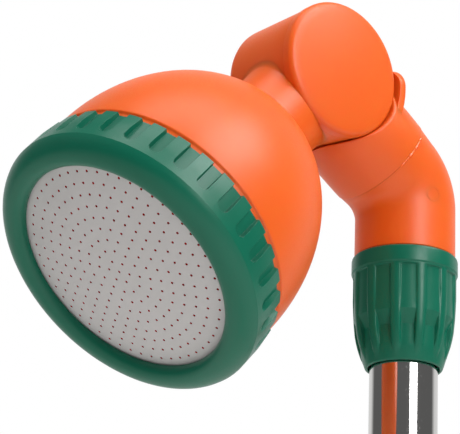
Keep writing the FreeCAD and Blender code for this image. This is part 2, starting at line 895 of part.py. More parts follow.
# ---------------------------------------------------------------- handle
def make_handle_shell(label, keep_side):
    """Half of the handle: valve housing above, recessed grip below, open tail for the inlet."""
    top = number(dim("handle_collar_base")) - number(dim("collar_height")) - 0.6
    recess = dim("shell_grip_radius")
    body = turned_part(label, WAND_FRAME, [
        (9.9, 36.0),
        (14.6, 36.0),
        Bulge(16.7, 38.2),
        (17.4, 41.5),
        (17.4, 48.4),
        (recess, 48.4),
        (recess, 139.6),
        (17.2, 139.6),
        (17.2, 142.5),
        Bulge(18.1, 149.2),
        (19.5, 156.0),
        (19.5, 174.0),
        Bulge(18.0, 188.0),
        (15.0, top),
        (13.1, top),
        (13.1, 139.0),
        (11.5, 137.0),
        (11.5, 46.0),
        (9.9, 44.0),
    ])
    half = sketch_on(body)
    draw_outline(half, box_points(-25.0, 25.0, 30.0, top + 5))
    extruded(body, "Pocket", half, 25, backwards=(keep_side > 0))
    port = sketch_on(body)
    draw_circle(port, 3.8 if keep_side > 0 else 1.95, 0, dim("valve_height"))
    extruded(body, "Pocket", port, 50, midplane=True)
    return body


SCREW_X = 15.6
SCREW_RISE = 7.5


def drill_screws(body, radius, start, length):
    """Four holes along Y at the valve, from y = start towards -Y."""
    for x in (-SCREW_X, SCREW_X):
        for rise in (-SCREW_RISE, SCREW_RISE):
            place = Placement(Vector(0, 0, -start), Rotation())
            hole = sketch_on(body, "XZ_Plane", place)
            draw_circle(hole, radius, x, dim("valve_height") + rise)
            extruded(body, "Pocket", hole, length, backwards=True)


def make_handle():
    left = make_handle_shell("handle_shell_left", 1)
    right = make_handle_shell("handle_shell_right", -1)
    drill_screws(left, 1.4, 8.0, 9.0)
    drill_screws(right, 1.4, 1.0, 8.0)
    drill_screws(right, 2.5, -5.0, 12.0)
    screws = []
    for x in (-SCREW_X, SCREW_X):
        for rise in (-SCREW_RISE, SCREW_RISE):
            base = Vector(x, 0, VALVE_Z + rise)
            along = Vector(0, 1, 0)
            shank = Part.makeCylinder(1.35, 12.5, base - along * 5.0, along)
            head = Part.makeCylinder(2.3, 1.9, base - along * 6.9, along)
            screws.append(head.fuse(shank))
    node = doc.addObject("Part::Feature", "shell_screws")
    node.Shape = Part.makeCompound(screws)
    node.Label = "shell_screws"
    put(node, WAND_FRAME)


def make_grip_sleeve():
    """Soft sleeve over the grip, with a row of shallow rounded grooves."""
    inner = dim("shell_grip_radius") + 0.05
    outer = dim("grip_radius")
    low = 48.6
    high = 139.4
    pitch = 8.0
    half_groove = 1.6
    points = [(inner, low), (outer, low)]
    for i in range(10):
        middle = 58.0 + i * pitch
        points.append((outer, middle - half_groove))
        points.append(Bulge(number(outer) - 0.7, middle))
        points.append((outer, middle + half_groove))
    points += [(outer, high), (inner, high)]
    turned_part("grip_sleeve", WAND_FRAME, points)


def make_inlet():
    """Hose nipple with its O-ring, and the pipe that runs up the grip to the valve."""
    nose = dim("inlet_radius")
    turned_part("hose_nipple", WAND_FRAME, [
        (4.8, 0),
        (nose, 0),
        (nose, 3.8),
        (nose - 1.2, 3.8),
        (nose - 1.2, 6.2),
        (nose, 6.2),
        (nose, 9.5),
        (8.7, 12.0),
        (8.7, 14.5),
        (7.4, 15.6),
        (7.4, 20.0),
        (8.7, 21.4),
        (8.7, 24.0),
        (13.6, 24.0),
        (14.2, 24.6),
        (14.2, 35.2),
        (13.6, 35.8),
        (9.8, 35.8),
        (9.8, 43.8),
        (7.05, 43.8),
        (7.05, 38.0),
        (4.8, 38.0),
    ])
    ring_seal("nipple_o_ring", WAND_FRAME, nose - 0.35, 0.83, [5.0])
    turned_part("grip_pipe", WAND_FRAME, box_points(5.4, 7.0, 38.2, 146.8))


flange_height = make_face_plate()
make_locking_ring(flange_height)
make_bell_housing()
make_head_internals(flange_height)
make_neck_drum()
make_pivot_cap()
make_pivot_core()
make_pivot_stem()
make_pivot_body()
make_elbow_body()
make_tube_joint("", HEAD_FRAME, 22)
make_wand_tube()
make_tube_joint("handle_", HANDLE_COLLAR_FRAME, 0)
make_valve_body()
make_valve_seats()
make_valve_ball()
make_valve_stem()
make_thumb_lever()
make_handle()
make_grip_sleeve()
make_inlet()
doc.recompute()

# ---------------------------------------------------------------- checks and export
for item in doc.Objects:
    if "Invalid" in item.State or "Error" in item.State:
        raise ValueError(item.Label + " did not recompute")
os.makedirs("parts", exist_ok=True)
for node in NODES:
    shape = node.Shape
    if shape.isNull() or not shape.isValid() or not shape.Solids:
        raise ValueError(node.Label + " has no valid solid")
    shape.exportStep("parts/" + node.Label + ".step")
    print("%-22s %3d solids %9.1f mm3" % (node.Label, len(shape.Solids), shape.Volume))
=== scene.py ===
import json
import math

import bmesh
import bpy
from mathutils import Matrix, Vector


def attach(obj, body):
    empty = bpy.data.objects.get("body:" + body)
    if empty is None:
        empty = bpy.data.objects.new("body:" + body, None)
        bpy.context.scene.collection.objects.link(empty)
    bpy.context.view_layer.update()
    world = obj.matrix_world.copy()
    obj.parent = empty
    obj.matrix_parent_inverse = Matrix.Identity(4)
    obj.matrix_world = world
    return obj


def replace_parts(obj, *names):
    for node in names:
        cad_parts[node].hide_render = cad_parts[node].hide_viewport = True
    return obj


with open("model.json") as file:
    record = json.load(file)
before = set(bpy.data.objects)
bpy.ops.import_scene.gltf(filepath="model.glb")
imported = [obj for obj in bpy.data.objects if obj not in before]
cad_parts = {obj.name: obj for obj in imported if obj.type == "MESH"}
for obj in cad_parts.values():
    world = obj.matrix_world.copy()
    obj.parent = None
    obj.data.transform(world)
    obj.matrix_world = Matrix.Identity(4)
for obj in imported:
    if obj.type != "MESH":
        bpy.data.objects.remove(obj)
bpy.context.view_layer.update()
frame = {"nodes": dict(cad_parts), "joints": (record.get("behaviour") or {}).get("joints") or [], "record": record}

SCENE = bpy.context.scene
MM = 0.001
WELD = 0.001        # points closer than this, in millimetres, are one
JOINTS = {joint["name"]: joint for joint in frame["joints"]}
SLOT_OF = {part["node"]: part["material_slot"] for part in frame["record"]["subparts"]}
BODY_OF = {node: body for body, nodes in frame["record"]["behaviour"]["bodies"].items() for node in nodes}


# ---------------------------------------------------------------- camera and light
HEAD_CENTRE = Vector((0.03, 0, 0.56))


def camera():
    """A long lens, low and to one side, looking up at the head."""
    data = bpy.data.cameras.new("camera")
    data.sensor_width = 36.0
    data.sensor_fit = "HORIZONTAL"
    data.lens = 193.617
    data.clip_start = 0.01
    obj = bpy.data.objects.new("camera", data)
    SCENE.collection.objects.link(obj)
    right = Vector((-0.77649, 0.62920, 0.03412))
    up = Vector((0.24024, 0.24554, 0.93915))
    forward = Vector((-0.58254, -0.73744, 0.34182))
    stand = Vector((446.0885, 484.8353, 302.7482)) * MM
    obj.matrix_world = Matrix.Translation(stand) @ Matrix((right, up, -forward)).transposed().to_4x4()
    SCENE.camera = obj


def soft_light(name, azimuth, elevation, distance, width, height, watts):
    """A rectangular softbox that faces the head from an azimuth and an elevation."""
    data = bpy.data.lights.new(name, "AREA")
    data.shape = "RECTANGLE"
    data.size = width
    data.size_y = height
    data.energy = watts
    obj = bpy.data.objects.new(name, data)
    SCENE.collection.objects.link(obj)
    turn, rise = math.radians(azimuth), math.radians(elevation)
    out = Vector((math.cos(rise) * math.cos(turn), math.cos(rise) * math.sin(turn), math.sin(rise)))
    obj.location = HEAD_CENTRE + out * distance
    obj.rotation_euler = (-out).to_track_quat("-Z", "Y").to_euler()


def sky(azimuth, elevation, strength, spread):
    """Even light over the whole floor, kept out of the mirrored view in the chrome and the gloss."""
    data = bpy.data.lights.new("sky", "SUN")
    data.energy = strength
    data.angle = math.radians(spread)
    obj = bpy.data.objects.new("sky", data)
    SCENE.collection.objects.link(obj)
    obj.rotation_euler = (0, math.radians(90 - elevation), math.radians(azimuth))
    obj.visible_glossy = False


camera()
sky(azimuth=-40, elevation=52, strength=1.75, spread=70)
# Three softboxes: one high on the right, one overhead and one low on the right.
soft_light("key", 114, 48, distance=1.2, width=0.7, height=0.55, watts=11)
soft_light("overhead", 60, 78, distance=1.2, width=0.8, height=0.5, watts=5)
soft_light("strip", 84, 16, distance=1.0, width=0.4, height=0.5, watts=6)


# ---------------------------------------------------------------- shaping
def stroke(bm, points, closed=False, segments=4):
    """A chain of edges through (radius, height) points; a third number eases that corner."""
    verts = [bm.verts.new((point[0], 0, point[1])) for point in points]
    ends = verts[1:] + ([verts[0]] if closed else [])
    for a, b in zip(verts, ends):
        bm.edges.new((a, b))
    for ease in sorted({point[2] for point in points if len(point) > 2}):
        corners = [v for v, point in zip(verts, points) if len(point) > 2 and point[2] == ease]
        bmesh.ops.bevel(bm, geom=corners, offset=ease, affect="VERTICES", segments=segments,
                        profile=0.5, material=-1)


def arc(bm, start, centre, degrees, steps):
    """An arc of edges in the profile plane, turning from +Z towards +X for positive degrees."""
    vert = bm.verts.new((start[0], 0, start[1]))
    bmesh.ops.spin(bm, geom=[vert], cent=(centre[0], 0, centre[1]), axis=(0, 1, 0), dvec=(0, 0, 0),
                   angle=math.radians(degrees), steps=steps, use_merge=False)


def spun(bm, steps):
    """Turn the profile right round the Z axis."""
    bmesh.ops.remove_doubles(bm, verts=bm.verts, dist=WELD)
    bmesh.ops.spin(bm, geom=bm.verts[:] + bm.edges[:], cent=(0, 0, 0), axis=(0, 0, 1), dvec=(0, 0, 0),
                   angle=math.tau, steps=steps, use_merge=True)
    return bm


def lathe(points, steps):
    """Turn a closed profile right round the Z axis."""
    bm = bmesh.new()
    stroke(bm, points, closed=True)
    return spun(bm, steps)


def sheet(columns, rows, shape, copies=1):
    """A grid whose point in each column and row is put where shape says, copied round the Z axis."""
    bm = bmesh.new()
    bmesh.ops.create_grid(bm, x_segments=columns - 1, y_segments=rows - 1, size=1)
    for index, vert in enumerate(bm.verts):
        row, column = divmod(index, columns)
        vert.co = shape(column, row)
    if copies > 1:
        bmesh.ops.spin(bm, geom=bm.verts[:] + bm.edges[:] + bm.faces[:], cent=(0, 0, 0), axis=(0, 0, 1),
                       dvec=(0, 0, 0), angle=math.tau * (copies - 1) / copies, steps=copies - 1,
                       use_duplicate=True)
    return bm


def polar(radius, degrees, height):
    """A point from its distance to the Z axis, its turn round it and its height."""
    turn = math.radians(degrees)
    return Vector((radius * math.cos(turn), radius * math.sin(turn), height))


def soften(bm, size, angle=35, segments=2):
    """Round every edge that turns by more than the angle."""
    bmesh.ops.remove_doubles(bm, verts=bm.verts, dist=WELD)
    bmesh.ops.recalc_face_normals(bm, faces=bm.faces)
    sharp = [e for e in bm.edges if len(e.link_faces) == 2 and e.calc_face_angle() > math.radians(angle)]
    bmesh.ops.bevel(bm, geom=sharp, offset=size, offset_type="OFFSET", affect="EDGES",
                    segments=segments, profile=0.5, material=-1, clamp_overlap=True)
    return bm


def joined(*meshes):
    """Several bmesh shells in one."""
    whole = meshes[0]
    for other in meshes[1:]:
        held = bpy.data.meshes.new("held")
        other.to_mesh(held)
        other.free()
        whole.from_mesh(held)
        bpy.data.meshes.remove(held)
    return whole


def detail(name, bm, place, material, node, smooth=38):
    """Put a finished mesh where it belongs, riding on the body of a CAD node."""
    bmesh.ops.remove_doubles(bm, verts=bm.verts, dist=WELD)
    bmesh.ops.recalc_face_normals(bm, faces=bm.faces)
    bmesh.ops.transform(bm, matrix=place @ Matrix.Scale(MM, 4), verts=bm.verts)
    mesh = bpy.data.meshes.new(name)
    bm.to_mesh(mesh)
    bm.free()
    mesh.shade_smooth()
    mesh.set_sharp_from_angle(angle=math.radians(smooth))
    mesh.materials.append(material)
    obj = bpy.data.objects.new(name, mesh)
    SCENE.collection.objects.link(obj)
    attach(obj, BODY_OF[node])
    return obj


def piece(name, bm, place, material, node, smooth=38):
    """A finished mesh that stands for a CAD node."""
    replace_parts(detail(name, bm, place, material, node, smooth), node)


# ---------------------------------------------------------------- places
# Each piece's own frame: the rose's Z runs out through the face plate, the elbow's runs up to the pivot,
# the drum's is the tilt axis, and the wand's stands on the hose inlet.
PIVOT = Vector(JOINTS["head_tilt"]["pos_m"])
ROSE_AXIS = Vector(JOINTS["ring_turn"]["axis"])
ROSE_ANGLE = math.atan2(ROSE_AXIS.x, ROSE_AXIS.z)
ELBOW_ANGLE = math.radians(57)
WAND = Matrix.Identity(4)
HEAD_HEIGHT = 500.0
HEAD = Matrix.Translation((0, 0, HEAD_HEIGHT * MM))
HANDLE_COLLAR = Matrix.Translation((0, 0, 0.23)) @ Matrix.Rotation(math.pi, 4, "X")
ROSE = Matrix.Translation(PIVOT) @ Matrix.Rotation(ROSE_ANGLE, 4, "Y")
ELBOW = Matrix.Translation(PIVOT) @ Matrix.Rotation(ELBOW_ANGLE, 4, "Y")
DRUM = Matrix.Translation(PIVOT) @ Matrix.Rotation(-math.pi / 2, 4, "X")
ROUND = 96        # faces round a pipe


# ---------------------------------------------------------------- materials
def linear(colour):
    """sRGB hex to the linear colour that shaders work in."""
    parts = [int(colour[i:i + 2], 16) / 255 for i in (1, 3, 5)]
    return [c / 12.92 if c <= 0.04045 else ((c + 0.055) / 1.055) ** 2.4 for c in parts] + [1.0]


def add(tree, kind, inputs=(), **settings):
    """Add a node; an input is given a value, or the socket that feeds it."""
    made = tree.nodes.new(kind)
    for key, value in settings.items():
        setattr(made, key, value)
    for key, value in dict(inputs).items():
        if isinstance(value, bpy.types.NodeSocket):
            tree.links.new(value, made.inputs[key])
        else:
            made.inputs[key].default_value = value
    return made


def per_mm(size):
    """Noise scale that gives features of this many millimetres."""
    return 1 / (size * MM)


def moulded(name, colour, second, rough, grain, depth, ior=1.5, patch=26.0, shine=0.5, deep=0.0):
    """Moulded plastic: a slow drift between two close shades, and grain in the relief and the gloss.

    Grain, its depth and the patches are in millimetres. Real spark-eroded grain is nearer 0.1 mm: it is
    drawn coarser here, because at its own size it would not show.
    """
    material = bpy.data.materials.new(name)
    material.use_nodes = True
    tree = material.node_tree
    shader = tree.nodes["Principled BSDF"]
    place = add(tree, "ShaderNodeTexCoord").outputs["Object"]
    drift = add(tree, "ShaderNodeTexNoise", {"Vector": place, "Scale": per_mm(patch), "Detail": 3.0})
    shade = add(tree, "ShaderNodeMixRGB", {"Fac": drift.outputs["Fac"], "Color1": linear(colour),
                                           "Color2": linear(second)})
    texture = add(tree, "ShaderNodeTexNoise", {"Vector": place, "Scale": per_mm(grain), "Detail": 2.0})
    gloss = add(tree, "ShaderNodeMapRange", {"Value": texture.outputs["Fac"], "From Min": 0.3,
                                             "From Max": 0.7, "To Min": rough - 0.05,
                                             "To Max": rough + 0.05})
    bump = add(tree, "ShaderNodeBump", {"Height": texture.outputs["Fac"], "Distance": depth * MM,
                                        "Strength": 1.0})
    tree.links.new(shade.outputs["Color"], shader.inputs["Base Color"])
    tree.links.new(gloss.outputs["Result"], shader.inputs["Roughness"])
    tree.links.new(bump.outputs["Normal"], shader.inputs["Normal"])
    shader.inputs["IOR"].default_value = ior
    shader.inputs["Specular IOR Level"].default_value = shine
    # Light that goes in comes out red nearby, so the shaded side of orange plastic is redder than paint.
    if deep:
        shader.inputs["Subsurface Weight"].default_value = deep
        shader.inputs["Subsurface Radius"].default_value = (1.0, 0.2, 0.05)
        shader.inputs["Subsurface Scale"].default_value = 2.5 * MM
    return material


def metal(name, colour, rough, speck, depth):
    """Polished or plated metal with a few dull specks."""
    material = bpy.data.materials.new(name)
    material.use_nodes = True
    tree = material.node_tree
    shader = tree.nodes["Principled BSDF"]
    place = add(tree, "ShaderNodeTexCoord").outputs["Object"]
    dust = add(tree, "ShaderNodeTexNoise", {"Vector": place, "Scale": per_mm(speck), "Detail": 4.0})
    gloss = add(tree, "ShaderNodeMapRange", {"Value": dust.outputs["Fac"], "From Min": 0.64,
                                             "From Max": 0.78, "To Min": rough, "To Max": rough + 0.2})
    bump = add(tree, "ShaderNodeBump", {"Height": gloss.outputs["Result"], "Distance": depth * MM,
                                        "Strength": 1.0})
    tree.links.new(gloss.outputs["Result"], shader.inputs["Roughness"])
    tree.links.new(bump.outputs["Normal"], shader.inputs["Normal"])
    shader.inputs["Base Color"].default_value = linear(colour)
    shader.inputs["Metallic"].default_value = 1.0
    return material


def paint_red_light_in_holes(material):
    """Paint the walls of the punched holes red as painted light, standing in for the shaded red spreader seen
    through each hole, so that each hole reads as a small red dot.
    """
    tree = material.node_tree
    colour = tree.nodes["Principled BSDF"].inputs["Base Color"]
    normal = add(tree, "ShaderNodeTexCoord").outputs["Normal"]
    facing = add(tree, "ShaderNodeVectorMath", {0: normal, 1: ROSE_AXIS}, operation="DOT_PRODUCT")
    turned = add(tree, "ShaderNodeMath", {0: facing.outputs["Value"]}, operation="ABSOLUTE")
    wall = add(tree, "ShaderNodeMath", {0: turned.outputs[0], 1: 0.5}, operation="LESS_THAN")
    # Painted light: the hole walls take a red that stands in for the shaded red spreader seen through them.
    painted_red_light = add(tree, "ShaderNodeMixRGB", {"Fac": wall.outputs[0], "Color1": colour.links[0].from_socket,
                                             "Color2": linear("#C01E12")})
    tree.links.new(painted_red_light.outputs["Color"], colour)


# ABS, injection moulded with a fine satin grain: a warm saturated orange with broad soft highlights.
ORANGE = moulded("satin_orange_abs", "#DA5C17", "#D65714", 0.40, 0.4, 0.012, ior=1.5, shine=0.36, deep=0.4)
# The same ABS where it was squeezed out of the weld: no grain, so it catches small bright glints.
GLOSSY = moulded("glossy_orange_abs", "#E8601A", "#E45A14", 0.2, 0.6, 0.004)
# Polypropylene, satin with slightly polished edges: a cool deep green that shows its edges.
GREEN = moulded("satin_green_polypropylene", "#06604A", "#055943", 0.33, 0.4, 0.016, ior=1.49, shine=0.3)
# Steel sheet with a thin matte coat: a neutral grey with no clear reflection.
SHEET = moulded("matte_coated_steel_sheet", "#B9B6B6", "#B3B0B0", 0.62, 0.4, 0.004, ior=1.45, patch=9.0)
# The sheet's hole walls get painted light: a red that stands in for the spreader seen through the holes.
paint_red_light_in_holes(SHEET)
# Elastomer moulded over the grip: nearly black green with a dry look.
SOFT = moulded("soft_green_elastomer", "#0D3B2A", "#0B3324", 0.72, 0.45, 0.03, ior=1.45)
# Nylon, moulded plain: a soft black that greys a little at its edges.
NYLON = moulded("black_moulded_nylon", "#1B1C1D", "#222324", 0.5, 0.4, 0.015, ior=1.53)
# Nitrile rubber, moulded: a dry deep black with almost no highlight.
NITRILE = moulded("black_nitrile_rubber", "#131313", "#191919", 0.7, 0.3, 0.01, ior=1.45)
# Acetal, moulded: milky white with a waxy sheen.
ACETAL = moulded("white_acetal", "#EDEBE2", "#E4E2D8", 0.45, 0.4, 0.006, ior=1.48)
# PTFE, turned: a brighter, drier white than acetal.
PTFE = moulded("turned_ptfe", "#F1F0EC", "#E9E8E2", 0.5, 0.4, 0.006, ior=1.4)
# ABS, moulded in red: seen only through the holes, as a warm dark red.
RED = moulded("red_moulded_abs", "#E0301C", "#D82A18", 0.5, 0.5, 0.01, ior=1.54)
# Chrome plate, on the steel tube and the valve's ball: a near mirror with a few dull specks.
CHROME = metal("bright_chrome_plate", "#D9D8D6", 0.07, 0.9, 0.004)
# Brass, machined: yellow with a softened reflection.
BRASS = metal("machined_brass", "#C9A24D", 0.25, 0.6, 0.004)
# Bright zinc on steel screws: blue-grey, less sharp than chrome.
ZINC = metal("bright_zinc_plated_steel", "#BFC3C6", 0.3, 0.6, 0.004)
FINISH = {"orange_plastic": ORANGE, "green_plastic": GREEN, "grey_sheet": SHEET, "chrome_tube": CHROME,
          "black_nylon": NYLON, "nitrile": NITRILE, "white_acetal": ACETAL, "brass": BRASS, "ptfe": PTFE,
          "green_tpe": SOFT, "steel": ZINC, "red_plastic": RED}

for node, obj in frame["nodes"].items():
    for held in obj.material_slots:
        held.material = FINISH[SLOT_OF[node]]


# ---------------------------------------------------------------- the rose
GROOVES = 33
GROOVE_HALF = 1.85        # half-width at the skin, and at the floor
GROOVE_FLOOR_HALF = 1.6
GROOVE_FLOOR = 37.65
GROOVE_END = 86.5         # where a groove's round end starts
GROOVE_TURN = 8.1         # degrees from the rose's X axis to a groove
RING_RADIUS = 39.2
FAN = [-90 + 22.5 * i for i in range(9)]        # directions round a groove's end, one for each floor column


def bulge(centre, half, first, step, count):
    """Points along an ellipse: centre and half axes as (radius, height), angles in degrees from outwards."""
    turns = [math.radians(first + step * i) for i in range(count)]
    return [(centre[0] + half[0] * math.cos(t), centre[1] + half[1] * math.sin(t)) for t in turns]


# Profile of the ring: up the outside, over the bezel and its rounded inner lip, and back up inside.
RING_ROWS = [(36.3, 79.0), (38.7, 79.0), (38.95, 81.5), (39.2, 84.0), (39.2, 85.8), (39.2, 86.3), (39.2, 87.0),
             (39.2, 89.4)]
RING_ROWS += bulge((33.6, 88.3), (5.9, 6.45), first=18.3, step=7.97, count=10)
RING_ROWS += bulge((33.6, 92.15), (2.6, 2.6), first=99, step=9, count=10)
RING_ROWS += [(31.0, 91.75), (36.3, 91.75), (36.3, 79.0)]
FLOOR_ROWS = (1, 2, 3, 4)
FLOOR_END_ROW = 5
TOP_END_ROW = 6
TOP_SWING = 0.87        # the fan at the skin stops short of the straight sides


def ring_point(column, row):
    """One groove and half a land either side; the floor's columns fan out round its end."""
    radius, height = RING_ROWS[row]
    half_pitch = math.pi * RING_RADIUS / GROOVES
    side = -1 if column < 6 else 1
    across = {0: half_pitch, 12: half_pitch, 1: GROOVE_HALF, 11: GROOVE_HALF}.get(column)
    if across is None:
        swing = math.radians(FAN[column - 2])
        across = GROOVE_FLOOR_HALF * math.sin(swing)
        if row in FLOOR_ROWS:
            radius = GROOVE_FLOOR
        elif row == FLOOR_END_ROW:
            radius = GROOVE_FLOOR
            height = GROOVE_END + GROOVE_FLOOR_HALF * math.cos(swing)
        elif row == TOP_END_ROW:
            across = GROOVE_HALF * math.sin(swing * TOP_SWING)
            height = GROOVE_END + GROOVE_HALF * math.cos(swing * TOP_SWING)
    else:
        across *= side
        if row == FLOOR_END_ROW and column in (1, 11):
            height = GROOVE_END - 0.25
        if row == TOP_END_ROW and column in (1, 11):
            height = GROOVE_END
    return polar(radius, math.degrees(across / RING_RADIUS), height)


ring = soften(sheet(13, len(RING_ROWS), ring_point, GROOVES), 0.24, segments=3)
piece("grooved_locking_ring", ring, ROSE @ Matrix.Rotation(math.radians(GROOVE_TURN), 4, "Z"), GREEN,
      "locking_ring", smooth=10)

BELL_MOUTH = 74.0
BELL_DEPTH = 48.5
BELL_RADIUS = 38.1
BELL_WALL = 2.4


def bell_arc(bm, radius, depth, first, last, steps=26):
    """A quarter-ellipse wall between two heights, made as a round arc and stretched along Z."""
    swing = [math.degrees(math.asin((BELL_MOUTH - height) / depth)) for height in (first, last)]
    turn = math.radians(swing[1])
    start = (radius * math.cos(turn), -radius * math.sin(turn))
    before = set(bm.verts)
    arc(bm, start, (0, 0), swing[0] - swing[1], steps)
    made = [v for v in bm.verts if v not in before]
    bmesh.ops.scale(bm, vec=(1, 1, depth / radius), verts=made)
    bmesh.ops.translate(bm, vec=(0, 0, BELL_MOUTH), verts=made)
    return made


def bell():
    """Closed shell: shoulder and gasket ledge at the mouth, hub for the neck at the back."""
    bm = bmesh.new()
    outside = bell_arc(bm, BELL_RADIUS, BELL_DEPTH, 29.6, BELL_MOUTH)
    inside = bell_arc(bm, BELL_RADIUS - BELL_WALL, BELL_DEPTH - BELL_WALL, 34.0, BELL_MOUTH)

    def ends(verts):
        low = min(verts, key=lambda v: v.co.z)
        high = max(verts, key=lambda v: v.co.z)
        return (low.co.x, low.co.z), (high.co.x, high.co.z)

    (outer_low, outer_high), (inner_low, inner_high) = ends(outside), ends(inside)
    stroke(bm, [outer_high, (BELL_RADIUS, 77.4, 0.3), (37.5, 77.85, 0.25), (37.3, 78.9), (36.0, 78.9),
                (36.0, 88.9), (33.2, 88.9), (33.2, 86.2), (31.6, 86.2), (31.6, 83.0),
                (BELL_RADIUS - BELL_WALL, 77.0), inner_high])
    stroke(bm, [outer_low, (13.75, 29.35, 0.2), (13.55, 29.75), (11.05, 29.75), (11.05, 37.0), (13.3, 37.0),
                (13.3, 34.0), inner_low])
    return spun(bm, 144)


piece("bell_shell", bell(), ROSE, ORANGE, "bell_housing")

# ---------------------------------------------------------------- pivot drum, neck and cap
DRUM_RADIUS = 19.0
DRUM_BORE = 15.2
RIM_RADIUS = 19.32
NECK_RADIUS = 13.5
NECK_END = 29.4         # the neck's step against the bell's hub
NECK_ROOT_ROW = 4       # rows of the neck's wall where it starts to ease out, and where it sinks in
NECK_SUNK_ROW = 10
SLOT_HALF = 4.75


def drum_reach(y):
    """Radius of the drum, its rounded end or the cap's rim at a place along the tilt axis."""
    if y > 10.6:
        return RIM_RADIUS
    if y > -11.8:
        return DRUM_RADIUS
    return 16.0 + 3.0 * math.sqrt(max(0.0, 1 - ((y + 11.8) / 2.9) ** 2))


def neck_point(column, row):
    """Neck wall from the bell's hub, easing out on to the drum."""
    degrees = 360 * column / ROUND
    across = math.sin(math.radians(degrees))
    # The fillet is 1 mm round the drum and dies away towards the cap.
    spread = 1.0 if across < 0.5 else max(0.03, 1.0 - (across - 0.5) / 0.28)
    wall = [(11.3, NECK_END), (NECK_RADIUS - 0.25, NECK_END), (NECK_RADIUS, NECK_END - 0.25),
            (NECK_RADIUS, 27.0)]
    if row < NECK_ROOT_ROW:
        radius, height = wall[row]
        return polar(radius, degrees, height)
    if row >= NECK_SUNK_ROW:
        radius, lift = 11.5, -0.4
    else:
        swing = math.radians(18 * (row - NECK_ROOT_ROW))
        radius = NECK_RADIUS + spread * (1 - math.cos(swing))
        lift = spread * (1 - math.sin(swing))
    point = polar(radius, degrees, 0)
    point.z = math.sqrt(max(0.0, drum_reach(point.y) ** 2 - point.x ** 2)) + lift - 0.015
    return point


def neck_and_drum():
    """Hollow drum turned about the tilt axis, with its slot and the neck that stands on it."""
    bm = bmesh.new()
    stroke(bm, [(0, -14.9), (6.0, -14.8), (12.0, -14.5), (16.2, -14.05), (17.6, -13.75), (18.5, -13.0),
                (18.92, -12.1), (DRUM_RADIUS, -11.2), (DRUM_RADIUS, -SLOT_HALF), (DRUM_RADIUS, SLOT_HALF),
                (DRUM_RADIUS, 10.55, 0.15), (DRUM_BORE, 10.55), (DRUM_BORE, SLOT_HALF),
                (DRUM_BORE, -SLOT_HALF), (DRUM_BORE, -12.0), (0, -12.0)])
    spun(bm, ROUND)
    bmesh.ops.rotate(bm, verts=bm.verts, cent=(0, 0, 0), matrix=Matrix.Rotation(-math.pi / 2, 3, "X"))
    bmesh.ops.remove_doubles(bm, verts=bm.verts, dist=WELD)

    # Slot that the fixed stem passes through, open over the tilt's travel.
    stem_side = 180 - math.degrees(ROSE_ANGLE) + math.degrees(ELBOW_ANGLE)
    cut = []
    for face in bm.faces:
        centre = face.calc_center_median()
        turn = math.degrees(math.atan2(centre.x, centre.z)) % 360
        in_wall = abs(centre.y) < SLOT_HALF and math.hypot(centre.x, centre.z) > DRUM_BORE - 0.1
        if in_wall and stem_side - 17 < turn < stem_side + 87:
            cut.append(face)
    bmesh.ops.delete(bm, geom=cut, context="FACES")
    bmesh.ops.bridge_loops(bm, edges=[e for e in bm.edges if e.is_boundary])
    neck = sheet(ROUND + 1, NECK_SUNK_ROW + 1, neck_point)
    bmesh.ops.remove_doubles(neck, verts=neck.verts, dist=WELD)
    return joined(bm, neck)


piece("neck_with_pivot_drum", neck_and_drum(), ROSE, ORANGE, "neck_drum")


def cap():
    """Shallow dome with a rounded rim, and a tongue that presses into the drum."""
    crown, dome_radius = 15.5, 120.0
    bm = bmesh.new()
    arc(bm, (0, crown), (0, crown - dome_radius), 8.4, 10)
    edge = max(bm.verts, key=lambda v: v.co.x).co
    stroke(bm, [(edge.x, edge.z), (19.28, 13.55, 1.1), (19.28, 10.62, 0.1), (17.8, 10.62), (17.8, 9.3),
                (16.6, 9.3), (16.6, 10.62), (15.3, 10.62), (15.3, 12.0), (0, 12.0)], segments=8)
    return spun(bm, 128)


piece("domed_pivot_cap", cap(), DRUM, ORANGE, "pivot_cap")

# ---------------------------------------------------------------- elbow
SADDLE_RADIUS = 19.38
ELBOW_RADIUS = 14.95    # lower elbow at the seam
SEAM = 31.0             # from the pivot to the seam, along the upper elbow
# Rings of the upper elbow as (radius, height, follows the drum); on the drum, height is the depth below it.
SADDLE_RINGS = [(12.5, -27.0, 0), (12.5, -SEAM, 0), (14.85, -SEAM, 0), (14.98, -SEAM + 0.05, 0),
                (15.08, -SEAM + 0.16, 0), (15.1, -SEAM + 0.3, 0), (15.2, -26.0, 0), (15.2, 0.9, 1),
                (15.15, 0.55, 1), (15.0, 0.25, 1), (14.75, 0.06, 1), (14.4, 0.0, 1), (12.0, 0.0, 1),
                (8.0, 0.0, 1), (4.6, 0.0, 1), (4.6, 4.0, 1)]


def saddle_point(column, row):
    """Pipe wall with a rounded lip that follows the drum, and the seat inside the lip."""
    radius, height, follows = SADDLE_RINGS[row]
    point = polar(radius, 360 * column / ROUND, height)
    if follows:
        point.z = -math.sqrt(SADDLE_RADIUS ** 2 - point.x ** 2) - height
    return point


def upper_elbow():
    """The pipe that ends in the saddle, closed along its seam."""
    bm = sheet(ROUND + 1, len(SADDLE_RINGS), saddle_point)
    bmesh.ops.remove_doubles(bm, verts=bm.verts, dist=WELD)
    return bm


STRAP_INSIDE = 20.4
STRAP_OUTSIDE = 22.6
STRAP_HALF = 14.4
STRAP_CORNER = 5.5
# Degrees round the drum, closer together over the rounded corners at the free end.
STRAP_ROWS = [-2, 4, 10, 16, 22, 28, 33, 36, 38.5, 41, 43.2, 45.2, 47, 48.3, 49.3, 50]
# Once round the strap's section, as (radius, share of the half-width).
STRAP_LANES = [(STRAP_INSIDE, share / 2) for share in range(-2, 3)]
STRAP_LANES += [(STRAP_OUTSIDE, -share / 2) for share in range(-2, 3)]
STRAP_LANES += STRAP_LANES[:1]


